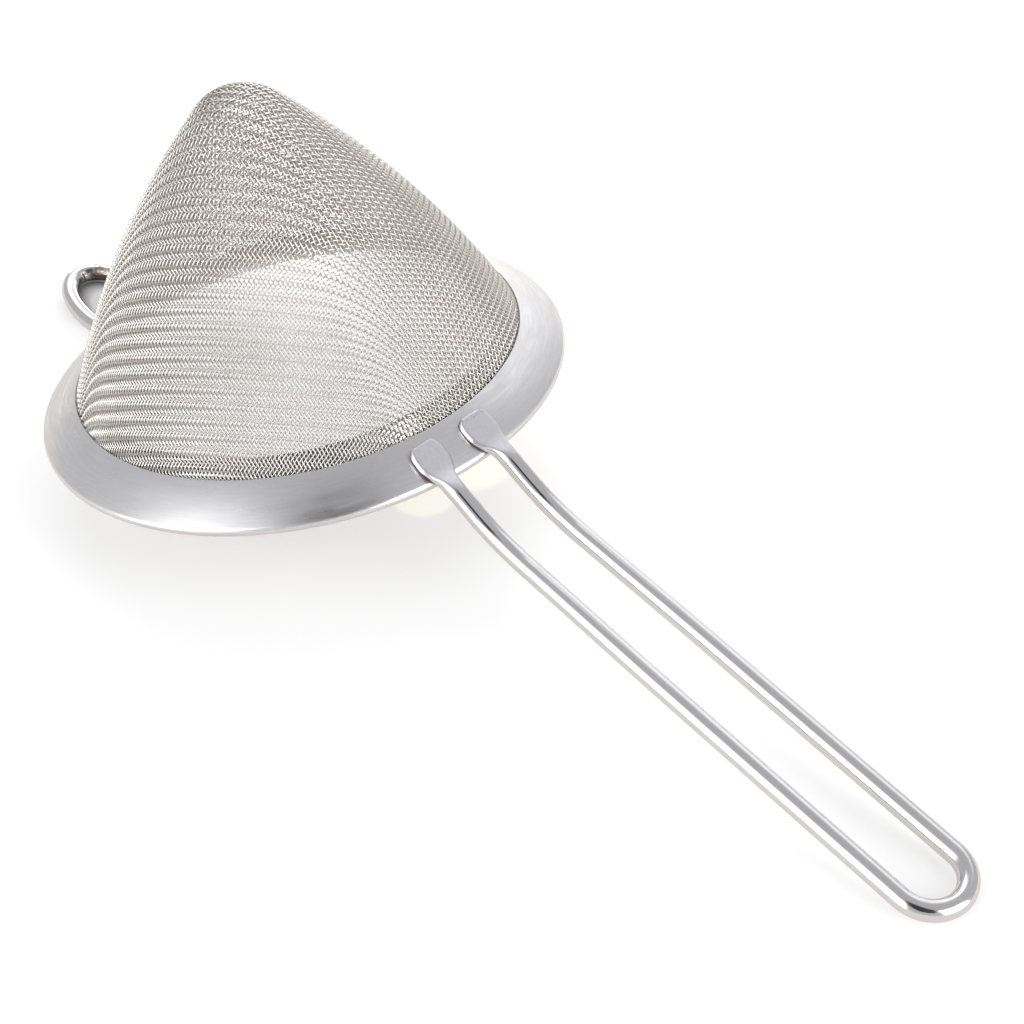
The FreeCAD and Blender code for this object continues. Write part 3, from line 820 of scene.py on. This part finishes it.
def bow_piece(name, bow, corners, radii, oval_start, node):
    """The whole loop as one closed mesh."""
    fine, normals, run = half_path(bow, corners, radii, oval_start, 0.12)
    keep = [0]
    for i in range(1, len(run)):
        step = 0.12 if run[i] < bow.neck + 2 else 0.5
        if run[i] - run[keep[-1]] >= step - 1e-6 or i == len(run) - 1:
            keep.append(i)
    points, normals, run = fine[keep], normals[keep], run[keep]
    mirror = np.array([1.0, -1.0, 1.0])
    points[:, 1] -= bow.pinch * (1 - ease(points[:, 0], 60.0, 90.0)) + bow.toe * (1 - ease(run, 2.0, 9.0))
    points = np.concatenate([points, (points * mirror)[-2::-1]])
    points[:, 1] -= bow.sway * (1 - ease(points[:, 0], 42.0, 60.0)) + bow.drift * ease(points[:, 0], 44.0, 60.0)
    normals = np.concatenate([normals, (normals * mirror)[-2::-1]])
    run = np.concatenate([run, run[-2::-1]])
    forward = np.gradient(points, axis=0)
    forward /= np.linalg.norm(forward, axis=1, keepdims=True)
    side = np.cross(normals, forward)
    side /= np.linalg.norm(side, axis=1, keepdims=True)
    up = np.cross(forward, side)
    sides = 96
    turn = np.arange(sides) * 2 * math.pi / sides
    across, height, pressed, stain = pressed_section(run, bow, turn)
    rings = points[:, None, :] + side[:, None, :] * across[..., None] + up[:, None, :] * height[..., None]
    vertices = rings.reshape(-1, 3) * np.array([bow.side, 1.0, 1.0])
    quads = ring_quads(len(points), sides, False)
    caps = []
    last = (len(points) - 1) * sides
    for k in range(1, sides // 2):
        caps.append([k, k - 1, sides - k, sides - k - 1] if k > 1 else [1, 0, sides - 1, sides - 2])
    caps = np.array(caps)
    far_caps = (caps + last)[:, ::-1]
    quads = np.concatenate([quads, caps, far_caps])
    if bow.side < 0:
        quads = quads[:, ::-1]
    piece = make_object(name, vertices, quads, WIRE)
    # the attribute "stain" carries the real tip marks and the painted shade
    stain = np.maximum(stain, bow.stain(points, rings - points[:, None, :], run, turn))
    for attribute_name, value in (("pressed", pressed), ("stain", stain)):
        attribute = piece.data.attributes.new(attribute_name, "FLOAT", "POINT")
        attribute.data.foreach_set("value", value.reshape(-1).astype(np.float32))
    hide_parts(node)
    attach(piece, "root")
    return piece


handle_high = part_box("handle_wire")[1]
hook_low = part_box("hook_wire")[0]
handle = Bow(1, 1.65, 5.7, 18.2, handle_high.x / MM - 1.65, 40.3, 9.0)
hook = Bow(-1, 1.65, 6.95, -8.5, -hook_low.x / MM - 1.65, 40.4, 8.0)
handle.pinch = 0.2
handle.toe = 0.45
handle.sway = 0.7
hook.drift = 1.0
HOOK_BEND_RUN = 18.7
HANDLE_BEND = np.array([56.2, -6.57])
bow_piece(
    "handle_loop",
    handle,
    [handle.at(10.0), HANDLE_BEND],
    [8.0, 30.0],
    handle.reach - handle.half * math.cos(handle.slope),
    "handle_wire",
)
bow_piece("hook_loop", hook, [hook.at(HOOK_BEND_RUN)], [4.0], 57.0, "hook_wire")

for node in ("handle_spot_welds", "hook_spot_welds"):
    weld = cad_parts[node]
    weld.data.materials.clear()
    weld.data.materials.append(WELD)

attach(band, "root")
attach(ring, "root")


# ---------------------------------------------------------------- floor, light and camera

def apart_from(tree, x, y, along_mm, across_mm):
    """Distance on the floor from a point given in millimetres."""
    east = maths(tree, "SUBTRACT", x, along_mm * MM)
    north = maths(tree, "SUBTRACT", y, across_mm * MM)
    return maths(
        tree, "SQRT", maths(tree, "ADD", maths(tree, "MULTIPLY", east, east), maths(tree, "MULTIPLY", north, north))
    )


def hook_contact(tree, x, y):
    """Shadow where the hook's loop touches the floor, darkest along the inside of the wire."""
    middle, lean, long_half, short_half = LOOP_INSIDE
    east = maths(tree, "DIVIDE", maths(tree, "SUBTRACT", x, middle * MM), long_half * MM)
    north = maths(tree, "DIVIDE", maths(tree, "SUBTRACT", y, lean * MM), short_half * MM)
    out = maths(
        tree, "SQRT", maths(tree, "ADD", maths(tree, "MULTIPLY", east, east), maths(tree, "MULTIPLY", north, north))
    )
    near_wire = maths(tree, "MULTIPLY", span(tree, out, 0.74, 1.02, 0.0, 0.9), span(tree, out, 1.05, 1.15, 1.0, 0.0))
    return maths(tree, "MULTIPLY", near_wire, span(tree, east, -0.2, 0.2, 1.0, 0.0))


def floor_material():
    """White sweep with painted light: brighter behind the strainer, two cream patches of painted light under its rim,
    a painted shadow round the hook, and a darker, warmer colour in mirror reflections.
    """
    material, tree, shader = new_material("white_paper")
    grain = even_noise(tree, 400.0, detail=2.0)
    x, y, z = place(tree)
    glossy = tree.nodes.new("ShaderNodeLightPath").outputs["Is Glossy Ray"]
    # painted light: the floor glows more towards the back, behind the strainer, less so in reflections
    behind = maths(tree, "MULTIPLY", span(tree, y, 0.01, 0.16, 0.0, 1.0), span(tree, glossy, 0.0, 1.0, 1.0, 0.2))
    glow = maths(tree, "ADD", FLOOR_GLOW, behind)
    patches = 0.0
    for along_mm, across_mm, reach_mm in LIGHT_PATCHES:
        apart = apart_from(tree, x, y, along_mm, across_mm)
        patch = span(tree, apart, (reach_mm - 0.5) * MM, (reach_mm + 0.5) * MM, PATCH_GLOW, 0.0)
        patches = maths(tree, "MAXIMUM", patches, patch)
    shade = span(tree, apart_from(tree, x, y, *HOOK_SHADE), 0.003, 0.009, -0.2, 0.0)
    contact = hook_contact(tree, x, y)
    paper = blend_colour(tree, grain, (0.64, 0.64, 0.64, 1), (0.66, 0.66, 0.66, 1))
    # painted reflection: in mirror reflections the floor is darker and warmer
    plain = blend_colour(tree, glossy, paper, (0.56, 0.54, 0.51, 1))
    put(tree, shader.inputs["Base Color"], blend_colour(tree, contact, plain, (0.13, 0.12, 0.115, 1)))
    shader.inputs["Roughness"].default_value = 0.9
    shader.inputs["Specular IOR Level"].default_value = 0.1
    cream = maths(tree, "DIVIDE", patches, PATCH_GLOW)
    light = blend_colour(tree, cream, (1.0, 0.998, 0.99, 1), (1.0, 0.985, 0.84, 1))
    # painted reflection: a warmer, dimmer glow as seen in mirror reflections
    put(tree, shader.inputs["Emission Color"], blend_colour(tree, glossy, light, (0.9, 0.86, 0.8, 1)))
    strength = maths(tree, "ADD", maths(tree, "ADD", glow, patches), shade)
    lit = maths(tree, "SUBTRACT", 1.0, contact)
    put(tree, shader.inputs["Emission Strength"], maths(tree, "MULTIPLY", strength, lit))
    return material


FLOOR_GLOW = 0.41
# along, across and radius, in millimetres from where the hook rests
LIGHT_PATCHES = [(95.0, 5.0, 5.6), (95.5, 15.5, 6.2)]
PATCH_GLOW = 0.13
HOOK_SHADE = (7.5, -2.5)
# middle along and across, half length and half width of the opening in the hook's loop
LOOP_INSIDE = (15.3, -1.0, 13.6, 5.3)


def set_floor():
    """A plane that the hook's loop and the handle's end both rest on."""
    hook_end = Vector((-hook.reach, 0.0, hook_centre_height())) * MM
    handle_end = Vector((handle.reach, 0.0, handle_centre_height())) * MM
    along = (handle_end - hook_end).normalized()
    up = Vector((-along.z, 0.0, along.x))
    base = hook_end - up * hook.wire * MM
    mesh = bpy.data.meshes.new("floor")
    size = 4.0
    corners = [(-size, -size, 0), (size, -size, 0), (size, size, 0), (-size, size, 0)]
    mesh.from_pydata(corners, [], [(0, 1, 2, 3)])
    mesh.materials.append(floor_material())
    floor = bpy.data.objects.new("floor", mesh)
    bpy.context.scene.collection.objects.link(floor)
    across = up.cross(along)
    floor.matrix_world = Matrix.Translation(base) @ Matrix((along, across, up)).transposed().to_4x4()
    return base, along, across, up


def handle_centre_height():
    return HANDLE_BEND[1] - (handle.reach - HANDLE_BEND[0]) * math.tan(handle.slope)


def hook_centre_height():
    turn = hook.at(HOOK_BEND_RUN)
    return turn[1] - (hook.reach - turn[0]) * math.tan(hook.slope)


base, along, across, up = set_floor()


def soft_box(name, position, target, width, height, power, colour=(1, 1, 1)):
    """A rectangular lamp at a position given along, across and up from the middle of the floor."""
    data = bpy.data.lights.new(name, "AREA")
    data.shape = "RECTANGLE"
    data.size = width
    data.size_y = height
    data.energy = power
    data.color = colour
    lamp = bpy.data.objects.new(name, data)
    bpy.context.scene.collection.objects.link(lamp)
    spot = base + along * position[0] + across * position[1] + up * position[2]
    aim = base + along * target[0] + across * target[1] + up * target[2]
    lamp.location = spot
    lamp.rotation_mode = "QUATERNION"
    lamp.rotation_quaternion = (aim - spot).to_track_quat("-Z", "Y")
    return lamp


def dot(tree, first, second):
    node = tree.nodes.new("ShaderNodeVectorMath")
    node.operation = "DOT_PRODUCT"
    put(tree, node.inputs[0], first)
    put(tree, node.inputs[1], second)
    return node.outputs["Value"]


def floor_direction(azimuth, elevation):
    """A direction given by its bearing from the handle and its height above the floor, in degrees."""
    bearing, rise = math.radians(azimuth), math.radians(elevation)
    return (along * math.cos(bearing) + across * math.sin(bearing)) * math.cos(rise) + up * math.sin(rise)


def set_world():
    """A dim room with bright soft boxes round it."""
    world = bpy.data.worlds.new("studio")
    bpy.context.scene.world = world
    world.use_nodes = True
    tree = world.node_tree
    background = tree.nodes["Background"]
    direction = tree.nodes.new("ShaderNodeTexCoord").outputs["Generated"]
    height = maths(tree, "ARCSINE", dot(tree, direction, up))
    value = span(tree, height, 0.0, math.radians(80.0), ROOM_LOW, ROOM_HIGH)
    for azimuth, half_width, low, high, soft, radiance, slant in SOFT_BOXES:
        ahead = dot(tree, direction, floor_direction(azimuth, 0.0))
        beside = dot(tree, direction, floor_direction(azimuth + 90.0, 0.0))
        bearing = maths(tree, "ADD", maths(tree, "ARCTAN2", beside, ahead), maths(tree, "MULTIPLY", height, slant))
        edge = math.radians(soft)
        wide = window(tree, bearing, -math.radians(half_width), math.radians(half_width), edge)
        tall = window(tree, height, math.radians(low), math.radians(high), edge)
        share = maths(tree, "MULTIPLY", wide, tall)
        rest = maths(tree, "MULTIPLY", value, maths(tree, "SUBTRACT", 1.0, share))
        value = maths(tree, "ADD", rest, maths(tree, "MULTIPLY", share, radiance))
    background.inputs["Color"].default_value = (0.985, 0.985, 1.0, 1)
    put(tree, background.inputs["Strength"], value)


ROOM_LOW = 0.645
ROOM_HIGH = 0.575
# bearing from the handle, half width, lower edge, upper edge, softness of the edges (degrees), radiance, and
# how far the bearing falls with each degree of height; the last is the dark gap above the camera
SOFT_BOXES = [
    (131.0, 16.0, -6.0, 50.0, 6.0, 1.3, 0.6),
    (-104.0, 24.0, -3.0, 60.0, 5.0, 1.35, 0.0),
    (-98.0, 16.0, -3.0, 45.0, 4.0, 5.0, 0.0),
    (12.0, 23.0, -3.0, 49.0, 3.5, 4.0, 0.0),
    (146.0, 24.0, 32.0, 58.0, 5.0, 2.2, 0.0),
    (-42.0, 32.0, 56.0, 79.0, 6.0, 0.03, 0.0),
]
set_world()


def set_dark_card():
    """The dark camera and its operator, which the wires and the rolled rim mirror. It stands behind the camera."""
    middle = Vector((handle.reach, 0.0, handle_centre_height())) * MM
    towards = floor_direction(CARD_BEARING, CARD_HEIGHT)
    radius = CARD_DISTANCE * math.tan(math.radians(CARD_HALF_ANGLE))
    turn = np.linspace(0.0, 2 * math.pi, 48, endpoint=False)
    mesh = bpy.data.meshes.new("dark_card")
    mesh.from_pydata([(radius * math.cos(a), radius * math.sin(a), 0.0) for a in turn], [], [tuple(range(len(turn)))])
    material, tree, shader = new_material("dark_card")
    put(tree, shader.inputs["Base Color"], blend_colour(tree, even_noise(tree, 20.0), (0.01, 0.01, 0.01, 1), (0.03, 0.03, 0.03, 1)))
    shader.inputs["Roughness"].default_value = 0.8
    mesh.materials.append(material)
    card = bpy.data.objects.new("dark_card", mesh)
    bpy.context.scene.collection.objects.link(card)
    card.location = middle + towards * CARD_DISTANCE
    card.rotation_mode = "QUATERNION"
    card.rotation_quaternion = towards.to_track_quat("Z", "Y")
    card.visible_camera = False


CARD_BEARING = -42.0
CARD_HEIGHT = 48.0
CARD_DISTANCE = 0.38
CARD_HALF_ANGLE = 22.5
set_dark_card()
soft_box("low_card", (-0.12, 0.12, 0.03), (0.0, 0.0, 0.0), 0.2, 0.06, 0.11)


def set_camera():
    data = bpy.data.cameras.new("camera")
    data.lens = 79.98
    data.sensor_width = 36.0
    data.clip_start = 0.01
    data.clip_end = 20.0
    camera = bpy.data.objects.new("camera", data)
    bpy.context.scene.collection.objects.link(camera)
    right = Vector((0.65516, 0.73898, -0.15710))
    upward = Vector((-0.35029, 0.48137, 0.80348))
    backward = Vector((0.66937, -0.47138, 0.57423))
    turn = Matrix((right, upward, backward)).transposed().to_4x4()
    camera.matrix_world = Matrix.Translation(Vector((290.90, -167.70, 199.20)) * MM) @ turn
    bpy.context.scene.camera = camera


set_camera()
bpy.context.scene.view_settings.view_transform = "Standard"
